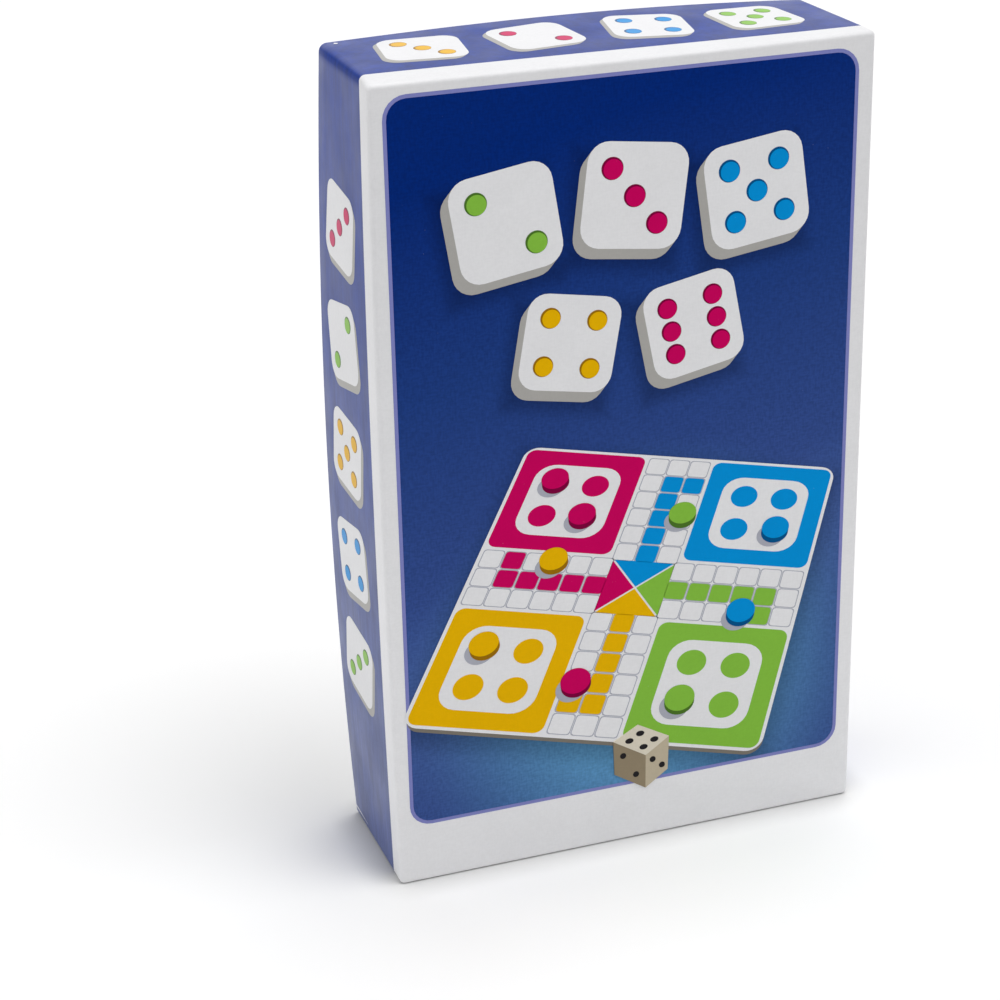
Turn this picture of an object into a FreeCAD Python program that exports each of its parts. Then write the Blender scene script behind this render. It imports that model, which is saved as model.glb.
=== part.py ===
"""Travel ludo game: a paper-wrapped two-piece case holding a four-arm board, counters, a die and the rules.

The closed case stands on its short side. X runs across the front, Y runs from the lid's face (-Y) to the
tray's back (+Y), and Z is up. The origin is under the middle of the case, on the surface it stands on.
All sizes are in millimetres.
"""

import FreeCAD
import Part

import math
import os

from FreeCAD import Vector

# Case: a shallow tray under a lid as deep as itself
CASE_WIDTH = 110.0
CASE_HEIGHT = 180.0
BOARD = 1.5
PAPER = 0.2
TURN_IN = 14.0
LID_EDGE_ROUND = 1.0
LID_CORNER_ROUND = 1.2
TRAY_EDGE_ROUND = 1.0
TRAY_CORNER_ROUND = 1.2
INNER_CORNER = 0.3
EDGE_LAND = 0.6
LID_SIDE_BOW = 2.3
LID_TOP_BOW = 2.2
LID_FIT = 0.4
LID_HEAD_GAP = 0.4
LID_RIM_SHORT = 0.5

# Board: four equal arms whose lobes lock into one another
ARM_COUNT = 4
ARM_THICK = 2.0
ARM_REACH = 143.0
ARM_PLAY = 0.8
ARM_END_ROUND = 14.0
LOBE_STEP = 6.0
LOBE_SHIFT = 7.5
LOBE_LEAD = 12.0
LOBE_TIP_ROUND = 10.0
LOBE_NECK_ROUND = 4.0
HOOK_ROUND = 2.4
HOOK_TIP_ROUND = 0.6
CUT_GAP = 0.2

# Counters: discs punched from the same board, drawn with flat sides so that the whole set stays light
COUNTER_DIAMETER = 18.0
COUNTER_THICK = 2.0
COUNTER_SIDES = 28
COUNTERS_PER_COLOUR = 4
STACK_PLAY = 1.0
COLOURS = ("pink", "blue", "green", "yellow")

# Die: a wooden cube with shallow pips
DIE_EDGE = 16.0
DIE_CORNER_CUT = 2.3
PIP_DIAMETER = 2.8
PIP_SIDES = 10
PIP_DEPTH = 0.6
PIP_SPREAD = 4.0

# Insert: one strip of card folded into two decks with a trough between them
CARD = 0.6
CARD_BEND = 0.4
INSERT_FIT = 0.4
TROUGH_PLAY = 1.2
DECK_HEADROOM = 2.3

# Rules: one sheet folded in three
LEAFLET_HEIGHT = 140.0
LEAFLET_PLAY = 3.0
LEAFLET_PAPER = 0.2
LEAFLET_GAP = 0.15
LEAFLET_PANELS = 3

# Spacing of loose pieces
SEAT = 0.1
REST = 0.2
HEADROOM = 3.2

# Coordinates that differ by less are the same
SAME = 1e-6

# Depth of the case, which follows from what is stacked in it
WALL = BOARD + PAPER
RIM_WALL = BOARD + 2 * PAPER
DECK_HEIGHT = CARD + DIE_EDGE + DECK_HEADROOM
ARM_STACK = ARM_COUNT * (ARM_THICK + SEAT)
LEAFLET_PITCH = LEAFLET_PAPER + LEAFLET_GAP
LEAFLET_THICK = LEAFLET_PAPER + (LEAFLET_PANELS - 1) * LEAFLET_PITCH
CASE_DEPTH = 2 * WALL + SEAT + DECK_HEIGHT + ARM_STACK + SEAT + LEAFLET_THICK + HEADROOM

# Planes across the depth of the case
LID_FACE_Y = -CASE_DEPTH / 2
TRAY_BACK_Y = CASE_DEPTH / 2
LID_RIM_Y = TRAY_BACK_Y - LID_RIM_SHORT
TRAY_RIM_Y = LID_FACE_Y + WALL + LID_HEAD_GAP
TRAY_FLOOR_Y = TRAY_BACK_Y - WALL
INSERT_BACK_Y = TRAY_FLOOR_Y - SEAT
TROUGH_FLOOR_Y = INSERT_BACK_Y - CARD
DECK_Y = INSERT_BACK_Y - DECK_HEIGHT
LEAFLET_BACK_Y = DECK_Y - ARM_STACK - SEAT

# Sizes and places that follow from how the tray sits in the lid
TRAY_WIDTH = CASE_WIDTH - 2 * (RIM_WALL + LID_FIT)
TRAY_LOW = RIM_WALL + LID_FIT
TRAY_HIGH = CASE_HEIGHT - TRAY_LOW
INSIDE_WIDTH = TRAY_WIDTH - 2 * RIM_WALL
INSIDE_LOW = TRAY_LOW + RIM_WALL
INSIDE_HIGH = TRAY_HIGH - RIM_WALL
INSIDE_MIDDLE = (INSIDE_LOW + INSIDE_HIGH) / 2
HALF_ARM = (INSIDE_WIDTH - 2 * ARM_PLAY - LOBE_STEP) / 2

# Sizes and places in the trough
INSERT_WIDTH = INSIDE_WIDTH - 2 * INSERT_FIT
TROUGH_WIDTH = max(COUNTER_DIAMETER, DIE_EDGE) + TROUGH_PLAY
TROUGH_LOW = INSIDE_MIDDLE - TROUGH_WIDTH / 2
TROUGH_HIGH = INSIDE_MIDDLE + TROUGH_WIDTH / 2

# As many stacks of counters as fit beside the die, evenly spread
COUNTER_COUNT = COUNTERS_PER_COLOUR * len(COLOURS)
STACKS = int((INSERT_WIDTH - DIE_EDGE - 2 * STACK_PLAY) / (COUNTER_DIAMETER + STACK_PLAY))
STACK_LAYERS = math.ceil(COUNTER_COUNT / STACKS)
ROW_GAP = (INSERT_WIDTH - STACKS * COUNTER_DIAMETER - DIE_EDGE) / (STACKS + 2)


def arc_or_line(start, via, end, bowed):
    """One side of an outline: a straight edge, or an arc through via where the side bows."""
    curve = Part.Arc(start, via, end) if bowed else Part.LineSegment(start, end)
    return curve.toShape()


def wall_outline(y, width, low, high, corner, side_bow, top_bow):
    """Closed wire in the plane y: round corners, straight bottom, sides and top that may bow outwards."""
    half = width / 2
    middle = (low + high) / 2
    slant = corner * (1 - math.sqrt(0.5))

    def at(x, z):
        return Vector(x, y, z)

    bottom = arc_or_line(at(corner - half, low), None, at(half - corner, low), False)
    right = arc_or_line(at(half, low + corner), at(half + side_bow, middle), at(half, high - corner), side_bow)
    top = arc_or_line(at(half - corner, high), at(0, high + top_bow), at(corner - half, high), top_bow)
    left = arc_or_line(at(-half, high - corner), at(-half - side_bow, middle), at(-half, low + corner), side_bow)
    low_right = Part.Arc(at(half - corner, low), at(half - slant, low + slant), at(half, low + corner))
    high_right = Part.Arc(at(half, high - corner), at(half - slant, high - slant), at(half - corner, high))
    high_left = Part.Arc(at(corner - half, high), at(slant - half, high - slant), at(-half, high - corner))
    low_left = Part.Arc(at(-half, low + corner), at(slant - half, low + slant), at(corner - half, low))
    corners = [arc.toShape() for arc in (low_right, high_right, high_left, low_left)]
    return Part.Wire([bottom, corners[0], right, corners[1], top, corners[2], left, corners[3]])


def edges_at(solid, y):
    """The edges of a solid that lie in the plane y."""
    return [e for e in solid.Edges if all(abs(v.Y - y) < SAME for v in e.Vertexes)]


def slab(start_y, end_y):
    """A block wider and taller than the case, between two planes across its depth."""
    near, far = sorted((start_y, end_y))
    return Part.makeBox(2 * CASE_WIDTH, far - near, 2 * CASE_HEIGHT, Vector(-CASE_WIDTH, near, -CASE_HEIGHT / 2))


def wrapped_shell(width, low, high, face_y, rim_y, edge_round, corner, side_bow=0.0, top_bow=0.0):
    """A set-up box half, open at rim_y: its greyboard, and the paper glued round it and turned in at the rim.

    The walls are straight over the rounded edge of the face and a narrow land behind it. From there their
    bow grows evenly to its full size at the rim.
    """
    inward = math.copysign(1.0, rim_y - face_y)
    bow_y = face_y + inward * (edge_round + EDGE_LAND)

    def block(inset, start_y, end_y, rounded=0.0):
        def section(y):
            share = max(0.0, (y - bow_y) / (rim_y - bow_y))
            round_here = max(corner - inset, INNER_CORNER)
            return wall_outline(
                y, width - 2 * inset, low + inset, high - inset, round_here, share * side_bow, share * top_bow
            )

        straight_first = side_bow + top_bow > 0 and inward * (bow_y - start_y) > SAME
        planes = [start_y, bow_y, end_y] if straight_first else [start_y, end_y]
        solid = Part.makeLoft([section(y) for y in planes], True, True)
        return solid.makeFillet(rounded, edges_at(solid, start_y)) if rounded else solid

    board_outside = block(PAPER, face_y + inward * PAPER, rim_y - inward * PAPER, edge_round - PAPER)
    hollow = block(WALL, face_y + inward * WALL, rim_y)
    board = board_outside.cut(hollow)
    mouth = block(RIM_WALL, face_y + inward * WALL, rim_y)
    skin = block(0.0, face_y, rim_y, edge_round).cut(board_outside).cut(mouth)
    hem = hollow.common(slab(rim_y - inward * TURN_IN, rim_y - inward * PAPER)).cut(mouth)
    return board, skin.fuse(hem)


def rounded_outline(corners):
    """Closed wire in the XZ plane from (x, z, radius) corners, each rounded by a tangent arc."""
    points = [Vector(x, 0, z) for x, z, _ in corners]
    edges = []
    starts = []
    for i, (_, _, radius) in enumerate(corners):
        here = points[i]
        before = (points[i - 1] - here).normalize()
        after = (points[(i + 1) % len(points)] - here).normalize()
        half_angle = before.getAngle(after) / 2
        if radius == 0:
            starts.append((here, here))
            continue
        reach = radius / math.tan(half_angle)
        bisector = (before + after).normalize()
        near = radius / math.sin(half_angle) - radius
        arc_start = here + before * reach
        arc_end = here + after * reach
        edges.append(Part.Arc(arc_start, here + bisector * near, arc_end).toShape())
        starts.append((arc_start, arc_end))
    for i, (_, leave) in enumerate(starts):
        arrive = starts[(i + 1) % len(starts)][0]
        edges.append(Part.LineSegment(leave, arrive).toShape())
    return Part.Wire(Part.__sortEdges__(edges))


def lobe_line():
    """The cut from the board's middle round an arm's own lobe, as corners up to the arm's side.

    The lobe is half an arm wide, and shifted past the middle line, so that it hooks behind its neighbour.
    """
    side = -HALF_ARM
    return [
        (-LOBE_LEAD, -LOBE_SHIFT, LOBE_NECK_ROUND),
        (side - LOBE_STEP, -LOBE_SHIFT, LOBE_TIP_ROUND),
        (side - LOBE_STEP, HALF_ARM - LOBE_SHIFT, LOBE_NECK_ROUND),
        (side, HALF_ARM - LOBE_SHIFT, HOOK_ROUND),
    ]


def board_arm():
    """One arm of the board, lying in the XZ plane with the board's middle at the origin and its end up."""
    own_lobe = lobe_line()
    neighbour_lobe = [(z, -x, radius) for x, z, radius in reversed(own_lobe)]
    end = [(-HALF_ARM, ARM_REACH, ARM_END_ROUND), (HALF_ARM, ARM_REACH, ARM_END_ROUND)]
    hook = [(HALF_ARM, HALF_ARM, HOOK_TIP_ROUND)]
    middle = [(0.0, 0.0, 0.0)]
    cut_line = rounded_outline(middle + own_lobe + end + hook + neighbour_lobe)
    outline = cut_line.makeOffset2D(-CUT_GAP / 2)
    return Part.Face(outline).extrude(Vector(0, -ARM_THICK, 0))


def packed_arm(layer):
    """An arm as it is packed: end down on the tray's wall, in the given layer in front of the decks."""
    arm = board_arm()
    arm.rotate(Vector(0, 0, 0), Vector(0, 1, 0), 180)
    back_y = DECK_Y - SEAT - layer * (ARM_THICK + SEAT)
    arm.translate(Vector(-LOBE_STEP / 2, back_y, INSIDE_LOW + REST + ARM_REACH))
    return arm


def disc(diameter, sides, middle, across, up, depth):
    """A flat-sided disc: its first face lies about the middle, along across and up, and depth is a vector."""
    rim = []
    for side in range(sides + 1):
        angle = 2 * math.pi * side / sides
        rim.append(middle + (across * math.cos(angle) + up * math.sin(angle)) * (diameter / 2))
    return Part.Face(Part.makePolygon(rim)).extrude(depth)


def counter():
    """One punched disc, with its back face about the origin."""
    thick = Vector(0, -COUNTER_THICK, 0)
    return disc(COUNTER_DIAMETER, COUNTER_SIDES, Vector(0, 0, 0), Vector(1, 0, 0), Vector(0, 0, 1), thick)


def row_place(index, size):
    """Middle, across the trough, of the index-th piece in the row, of the given size."""
    start = -INSERT_WIDTH / 2 + ROW_GAP
    return start + index * (COUNTER_DIAMETER + ROW_GAP) + size / 2


def packed_counter(index):
    """A counter on the trough's lower wall, in stacks that rise from the trough's floor."""
    disc = counter()
    column, layer = divmod(index, STACK_LAYERS)
    back_y = TROUGH_FLOOR_Y - SEAT - layer * (COUNTER_THICK + SEAT)
    disc.translate(Vector(row_place(column, COUNTER_DIAMETER), back_y, TROUGH_LOW + REST + COUNTER_DIAMETER / 2))
    return disc


def pip_places(count):
    """Middles of a face's pips, across and up the face."""
    step = PIP_SPREAD
    slope = [(-step, -step), (step, step)]
    other_slope = [(-step, step), (step, -step)]
    sides = [(-step, 0), (step, 0)]
    middle = [(0, 0)]
    layouts = {
        1: middle,
        2: slope,
        3: slope + middle,
        4: slope + other_slope,
        5: slope + other_slope + middle,
        6: slope + other_slope + sides,
    }
    return layouts[count]


def die():
    """Cube about the origin, its corners rounded to a ball and its pips sunk in; opposite faces add up to 7."""
    half = DIE_EDGE / 2
    cube = Part.makeBox(DIE_EDGE, DIE_EDGE, DIE_EDGE, Vector(-half, -half, -half))
    cube = cube.common(Part.makeSphere(half * math.sqrt(3) - DIE_CORNER_CUT))
    faces = {
        1: (Vector(1, 0, 0), Vector(0, 1, 0)),
        6: (Vector(-1, 0, 0), Vector(0, 1, 0)),
        2: (Vector(0, 0, 1), Vector(1, 0, 0)),
        5: (Vector(0, 0, -1), Vector(1, 0, 0)),
        3: (Vector(0, -1, 0), Vector(1, 0, 0)),
        4: (Vector(0, 1, 0), Vector(1, 0, 0)),
    }
    pips = []
    for count, (outward, across) in faces.items():
        up = outward.cross(across)
        for a, b in pip_places(count):
            start = outward * (half + PIP_DEPTH) + across * a + up * b
            pips.append(disc(PIP_DIAMETER, PIP_SIDES, start, across, up, outward * (-2 * PIP_DEPTH)))
    return cube.cut(pips)


def packed_die():
    """The die at the end of the row of counters, on the trough's lower wall and floor."""
    block = die()
    half = DIE_EDGE / 2
    place = Vector(row_place(STACKS, DIE_EDGE), TROUGH_FLOOR_Y - SEAT - half, TROUGH_LOW + REST + half)
    block.translate(place)
    return block


def ribbon_sides(path, thickness):
    """The two faces, as lists of (a, b) corners, of a strip about a square-cornered middle line."""
    left = []
    right = []
    for i, (a, b) in enumerate(path):
        shift_a = shift_b = 0.0
        for start, end in ((i - 1, i), (i, i + 1)):
            if start < 0 or end >= len(path):
                continue
            run_a = path[end][0] - path[start][0]
            run_b = path[end][1] - path[start][1]
            length = math.hypot(run_a, run_b)
            shift_a -= thickness / 2 * run_b / length
            shift_b += thickness / 2 * run_a / length
        left.append((a + shift_a, b + shift_b))
        right.append((a - shift_a, b - shift_b))
    return left, right


def bend_edges(solid, along, corners):
    """The edges of a prism, parallel to a direction, that start from the given corners."""
    found = []
    for edge in solid.Edges:
        run = edge.Vertexes[-1].Point - edge.Vertexes[0].Point
        if run.cross(along).Length > SAME:
            continue
        if any((edge.Vertexes[0].Point - c).cross(along).Length < SAME for c in corners):
            found.append(edge)
    return found


def folded_strip(path, thickness, bend, to_point, along):
    """A strip folded along a middle line of square corners, each bent to the inside radius bend, and swept along."""
    left, right = [[to_point(a, b) for a, b in side] for side in ribbon_sides(path, thickness)]
    strip = Part.Face(Part.makePolygon(left + right[::-1] + left[:1])).extrude(along)
    inner = []
    outer = []
    for i in range(1, len(path) - 1):
        (a0, b0), (a1, b1), (a2, b2) = path[i - 1 : i + 2]
        turns_left = (a1 - a0) * (b2 - b1) - (b1 - b0) * (a2 - a1) > 0
        inner.append(left[i] if turns_left else right[i])
        outer.append(right[i] if turns_left else left[i])
    strip = strip.makeFillet(bend, bend_edges(strip, along, inner))
    return strip.makeFillet(bend + thickness, bend_edges(strip, along, outer))


def card_insert():
    """Folded card across the tray: a deck on each side of a trough that reaches down to the tray's floor."""
    skin = CARD / 2
    low = INSIDE_LOW + INSERT_FIT + skin
    high = INSIDE_HIGH - INSERT_FIT - skin
    deck = DECK_Y + skin
    floor = TROUGH_FLOOR_Y + skin
    path = [
        (low, INSERT_BACK_Y),
        (low, deck),
        (TROUGH_LOW - skin, deck),
        (TROUGH_LOW - skin, floor),
        (TROUGH_HIGH + skin, floor),
        (TROUGH_HIGH + skin, deck),
        (high, deck),
        (high, INSERT_BACK_Y),
    ]
    return folded_strip(
        path, CARD, CARD_BEND, lambda z, y: Vector(-INSERT_WIDTH / 2, y, z), Vector(INSERT_WIDTH, 0, 0)
    )


def rules_leaflet():
    """One sheet folded to and fro into three panels, standing in front of the board arms."""
    skin = LEAFLET_PAPER / 2
    half = INSIDE_WIDTH / 2 - LEAFLET_PLAY - skin
    path = []
    for panel in range(LEAFLET_PANELS):
        y = LEAFLET_BACK_Y - skin - panel * LEAFLET_PITCH
        ends = (-half, half) if panel % 2 == 0 else (half, -half)
        path += [(x, y) for x in ends]
    low = INSIDE_LOW + REST
    bend = LEAFLET_GAP / 3
    return folded_strip(
        path, LEAFLET_PAPER, bend, lambda x, y: Vector(x, y, low), Vector(0, 0, LEAFLET_HEIGHT)
    )


def all_parts():
    """Every piece by name, in its place in the closed case."""
    lid_board, lid_wrap = wrapped_shell(
        CASE_WIDTH, 0.0, CASE_HEIGHT, LID_FACE_Y, LID_RIM_Y,
        LID_EDGE_ROUND, LID_CORNER_ROUND, LID_SIDE_BOW, LID_TOP_BOW,
    )
    tray_board, tray_wrap = wrapped_shell(
        TRAY_WIDTH, TRAY_LOW, TRAY_HIGH, TRAY_BACK_Y, TRAY_RIM_Y, TRAY_EDGE_ROUND, TRAY_CORNER_ROUND
    )
    parts = {
        "lid_board": lid_board,
        "lid_wrap": lid_wrap,
        "tray_board": tray_board,
        "tray_wrap": tray_wrap,
        "card_insert": card_insert(),
        "wooden_die": packed_die(),
        "rules_leaflet": rules_leaflet(),
    }
    for layer, colour in enumerate(COLOURS):
        parts[f"board_arm_{colour}"] = packed_arm(layer)
    for index in range(COUNTER_COUNT):
        colour, number = divmod(index, COUNTERS_PER_COLOUR)
        parts[f"counter_{COLOURS[colour]}_{number + 1}"] = packed_counter(index)
    return parts


def main():
    os.makedirs("parts", exist_ok=True)
    for name, shape in all_parts().items():
        shape.exportStep(f"parts/{name}.step")
        box = shape.optimalBoundingBox()
        print(
            f"{name}: {len(shape.Solids)} solid, valid {shape.isValid()}, volume {shape.Volume:.1f}, "
            f"x {box.XMin:.2f} {box.XMax:.2f}, y {box.YMin:.2f} {box.YMax:.2f}, z {box.ZMin:.2f} {box.ZMax:.2f}"
        )
    print(f"case depth {CASE_DEPTH:.2f}, arm half width {HALF_ARM:.2f}, row gap {ROW_GAP:.2f}")


main()
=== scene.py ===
"""Looks of the travel ludo game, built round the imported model.

Sizes are millimetres in the model's own frame: X across the front, -Y towards the viewer, Z up. They become
metres where a mesh or a lamp is made.
"""

import bmesh
import bpy
import math
from mathutils import Matrix, Vector


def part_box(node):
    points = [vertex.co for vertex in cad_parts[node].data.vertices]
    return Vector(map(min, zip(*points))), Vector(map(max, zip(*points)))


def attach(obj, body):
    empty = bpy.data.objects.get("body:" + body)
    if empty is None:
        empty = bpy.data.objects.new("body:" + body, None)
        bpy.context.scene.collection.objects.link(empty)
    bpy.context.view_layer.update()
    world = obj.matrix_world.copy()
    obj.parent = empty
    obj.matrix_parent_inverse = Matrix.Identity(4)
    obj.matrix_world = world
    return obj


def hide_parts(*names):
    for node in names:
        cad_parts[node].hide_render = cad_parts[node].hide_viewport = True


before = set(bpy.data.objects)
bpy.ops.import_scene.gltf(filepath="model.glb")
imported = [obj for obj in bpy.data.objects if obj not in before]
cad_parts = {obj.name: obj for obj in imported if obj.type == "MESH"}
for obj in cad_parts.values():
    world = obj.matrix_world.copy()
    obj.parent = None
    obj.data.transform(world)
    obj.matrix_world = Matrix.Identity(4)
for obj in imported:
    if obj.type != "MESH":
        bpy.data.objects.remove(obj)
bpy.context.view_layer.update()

MM = 0.001

# Lid, with the sizes of its solids
LID_WIDTH = 110.0
LID_HEIGHT = 180.0
LID_FACE_Y = -17.5
LID_RIM_Y = 17.0
LID_EDGE_ROUND = 1.0
LID_CORNER_ROUND = 1.2
LID_SIDE_BOW = 2.3
LID_TOP_BOW = 2.2
STRAIGHT_BEHIND_EDGE = 0.6
BOW_START_Y = LID_FACE_Y + LID_EDGE_ROUND + STRAIGHT_BEHIND_EDGE
PAPER = 0.2
WALL = 1.7
RIM_WALL = 1.9
TURN_IN = 14.0
RIM_ROUND = 0.3
RIM_BEVEL = 0.3 * RIM_ROUND

# How far the front's white runs onto the walls, and the walls' blue round the rim
WHITE_WRAP_Y = LID_FACE_Y + 5.2
BLUE_TURN_IN = 3.0

# Small swellings of the wrap that the solids leave out, and how steeply the top's grow towards its ends
LEFT_EDGE_BOW = 0.7
LEFT_REAR_BOW = LID_SIDE_BOW + 0.4
TOP_EDGE_DROP = 0.1
TOP_SWELL = 0.9
REAR_SWELL = 1.35
RIGHT_SWELL = 0.6
END_STEEPNESS = 4

# How much rounder the wrap's top left corner is at the rear
WORN_CORNER = 0.6

# How finely the wrap is drawn: steps on the front's round edge, on each corner and along each side
EDGE_STEPS = 6
CORNER_STEPS = 6
BOTTOM_STEPS = 12
SIDE_STEPS = 32
TOP_STEPS = 16

# Depths of the rings that the wrap is drawn through: its white, then its blue, then back along its inside
WHITE_RINGS_Y = [BOW_START_Y, BOW_START_Y + 1.2, BOW_START_Y + 2.4]
BLUE_RINGS_Y = [WHITE_WRAP_Y, -8.0, -3.0, 2.0, 7.0, 12.0, LID_RIM_Y - RIM_ROUND]
INSIDE_RINGS_Y = [LID_RIM_Y - PAPER, 10.0, 4.0, -2.0, -8.0, WHITE_WRAP_Y, BOW_START_Y]

# Thickness of a layer of ink, and how far it reaches into the face below
INK = 0.02
INK_ROOT = INK / 3

# Printed panel on the front
PANEL_LEFT = -52.2
PANEL_RIGHT = 51.3
PANEL_LOW = 14.2
PANEL_HIGH = 177.5
PANEL_ROUND = 5.0
PANEL_LINE = 0.8


def srgb(red, green, blue):
    """Linear colour, with alpha, of an sRGB colour from 0 to 255."""
    linear = []
    for part in (red, green, blue):
        share = part / 255
        linear.append(share / 12.92 if share <= 0.04045 else ((share + 0.055) / 1.055) ** 2.4)
    return (*linear, 1.0)


# Colours
PAPER_WHITE = srgb(236, 236, 238)
WALL_BLUE = srgb(7, 49, 136)
WALL_PALE_BLUE = srgb(86, 99, 152)
GLOW_BLUE = srgb(104, 170, 212)
DUST = srgb(225, 226, 230)
GREYBOARD = srgb(150, 142, 130)
CARD_WHITE = srgb(232, 230, 224)
LEAFLET_WHITE = srgb(238, 237, 232)
FLECK_BROWN = srgb(96, 88, 78)
WOOD_LIGHT = srgb(232, 210, 172)
WOOD_DARK = srgb(206, 174, 128)
WOOD_PORE = srgb(150, 112, 70)
PIP_BLACK = srgb(34, 30, 28)
TEAM = {
    "pink": srgb(206, 0, 94),
    "blue": srgb(0, 148, 222),
    "green": srgb(136, 194, 68),
    "yellow": srgb(238, 184, 0),
}
TEAM_SHADE = {
    "pink": srgb(128, 0, 62),
    "blue": srgb(0, 84, 140),
    "green": srgb(78, 118, 42),
    "yellow": srgb(158, 112, 10),
}
PRINT = {
    "white": srgb(238, 238, 240),
    "side": srgb(176, 174, 170),
    "edge": srgb(128, 122, 112),
    "line": srgb(176, 178, 190),
    "lilac": srgb(132, 136, 198),
    "text": srgb(120, 122, 128),
    "wood": srgb(226, 218, 200),
    "wood_dark": srgb(196, 184, 160),
    "wood_shade": srgb(150, 136, 112),
    "pip": srgb(40, 38, 40),
}

# The panel's printed blue by height, with painted light that pales it a little towards the right, and the
# glow at its foot
PANEL_FADE = [
    (28.0, srgb(58, 82, 145)),
    (62.0, srgb(69, 96, 159)),
    (80.0, srgb(53, 78, 143)),
    (125.0, srgb(31, 62, 131)),
    (170.0, srgb(0, 40, 120)),
]
PANEL_PAINTED_LIGHT_LEAN = 0.25
GLOW_X = 4.0
GLOW_Z = 40.0
GLOW_REACH = 60.0

# How strongly the front's matt print and the walls' film shine, and how rough the film is
FRONT_SHINE = 0.03
WALL_SHINE = 0.33
FILM_ROUGHNESS = (0.34, 0.44)

# How coarse and deep the film's weave is, and how strongly it shows in plain inks, on walls and on the panel
WEAVE_GRAIN = 0.45
WEAVE_DEPTH = 0.006
INK_CONTRAST = 0.02
WALL_CONTRAST = 0.06
PANEL_CONTRAST = 0.13

# Dull fold between the left wall and the top: width down the wall, the top's share, its core and its shine
FOLD_WIDTH = 2.4
FOLD_ON_TOP = 0.4
FOLD_FLAT = 0.2 * FOLD_WIDTH
FOLD_SHINE = 0.1 * WALL_SHINE

# Heights between which the walls' blue pales
PALING_HIGH = 0.92 * LID_HEIGHT
PALING_LOW = 0.15 * LID_HEIGHT

# Painted shading on the wrap's white: darker on the front than on the walls, lighter at the foot than at the
# top
FRONT_PAINTED_SHADE = 0.95
FOOT_PAINTED_LIGHT = 1.1

# Shadows printed on the panel: share of their soft edge inside the outline, then shift, softness and depth
SHADOW_INSIDE = 0.4
DICE_SHADOW_SHIFT = (-2.2, -3.0)
DICE_SHADOW_SPREAD = 4.0
DICE_SHADOW_DARK = 0.4
BOARD_SHADOW_DROP = 0.12
BOARD_SHADOW_SPREAD = 6.0
BOARD_SHADOW_DARK = 0.45


def add_node(tree, kind, inputs, **settings):
    """A new shader node with its settings; each input is linked to a socket or set to a value."""
    node = tree.nodes.new(kind)
    for name, value in settings.items():
        setattr(node, name, value)
    for key, value in inputs.items():
        feed(tree, node.inputs[key], value)
    return node


def feed(tree, socket, value):
    if isinstance(value, bpy.types.NodeSocket):
        tree.links.new(value, socket)
    else:
        socket.default_value = value


class Surface:
    """A principled material fed by a few named node steps, in the object's own coordinates."""

    def __init__(self, name, specular):
        self.material = bpy.data.materials.new(name)
        self.material.use_nodes = True
        self.tree = self.material.node_tree
        self.shader = self.tree.nodes["Principled BSDF"]
        self.shine(specular)
        self.place = self.step("ShaderNodeTexCoord", {}).outputs["Object"]
        split = self.step("ShaderNodeSeparateXYZ", {0: self.place})
        self.x, self.y, self.z = split.outputs

    def step(self, kind, inputs, **settings):
        return add_node(self.tree, kind, inputs, **settings)

    def math(self, operation, *values):
        return self.step("ShaderNodeMath", dict(enumerate(values)), operation=operation).outputs[0]

    def ramp(self, value, start, end, low=0.0, high=1.0):
        """A smooth step from low at start to high at end."""
        ends = {0: value, 1: start, 2: end, 3: low, 4: high}
        return self.step("ShaderNodeMapRange", ends, interpolation_type="SMOOTHSTEP").outputs[0]

    def blend(self, share, first, second, mode="MIX"):
        node = self.step("ShaderNodeMix", {0: share, 6: first, 7: second}, data_type="RGBA", blend_type=mode)
        return node.outputs[2]

    def shaded(self, colour, light):
        """The colour times a share of light."""
        grey = self.step("ShaderNodeCombineColor", {0: light, 1: light, 2: light}).outputs[0]
        return self.blend(1.0, colour, grey, "MULTIPLY")

    def noise(self, grain, stretch=(1.0, 1.0, 1.0), detail=2.0):
        """Noise from 0 to 1 whose grain is about the given size, drawn out along the axes by stretch."""
        scale = [1 / (grain * MM * s) for s in stretch]
        spot = self.step("ShaderNodeVectorMath", {0: self.place, 1: scale}, operation="MULTIPLY").outputs[0]
        return self.step("ShaderNodeTexNoise", {"Vector": spot, "Scale": 1.0, "Detail": detail}).outputs[0]

    def spread(self, noise, low, high):
        """Noise stretched to run from low to high, since most of it lies near its middle."""
        return self.ramp(noise, 0.3, 0.7, low, high)

    def bump(self, height, depth):
        """Bump whose full height is depth millimetres."""
        node = self.step("ShaderNodeBump", {"Height": height, "Strength": 1.0, "Distance": depth * MM})
        feed(self.tree, self.shader.inputs["Normal"], node.outputs[0])

    def colour(self, value):
        feed(self.tree, self.shader.inputs["Base Color"], value)

    def roughness(self, value):
        feed(self.tree, self.shader.inputs["Roughness"], value)

    def shine(self, value):
        feed(self.tree, self.shader.inputs["Specular IOR Level"], value)


def laminated(surface, colour, contrast=INK_CONTRAST):
    """Puts a satin film over a print: a fine woven emboss, a faint mottle and a few specks of dust."""
    mottle = surface.spread(surface.noise(9.0, detail=4.0), 0.985, 1.01)
    threads = surface.noise(WEAVE_GRAIN, stretch=(1.0, 1.0, 3.0), detail=1.0)
    weave = surface.math("ADD", threads, surface.noise(WEAVE_GRAIN, stretch=(3.0, 1.0, 1.0), detail=1.0))
    tone = surface.math("MULTIPLY", mottle, surface.ramp(weave, 0.6, 1.4, 1.0 - contrast, 1.0 + contrast))
    dust = surface.ramp(surface.noise(0.5, detail=1.0), 0.78, 0.84, 0.0, 0.1)
    surface.colour(surface.blend(dust, surface.shaded(colour, tone), DUST))
    surface.roughness(surface.spread(surface.noise(14.0, detail=3.0), *FILM_ROUGHNESS))
    surface.bump(weave, WEAVE_DEPTH)
    return surface.material


def plain_ink(name, colour, specular):
    return laminated(Surface(name, specular), colour)


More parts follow.
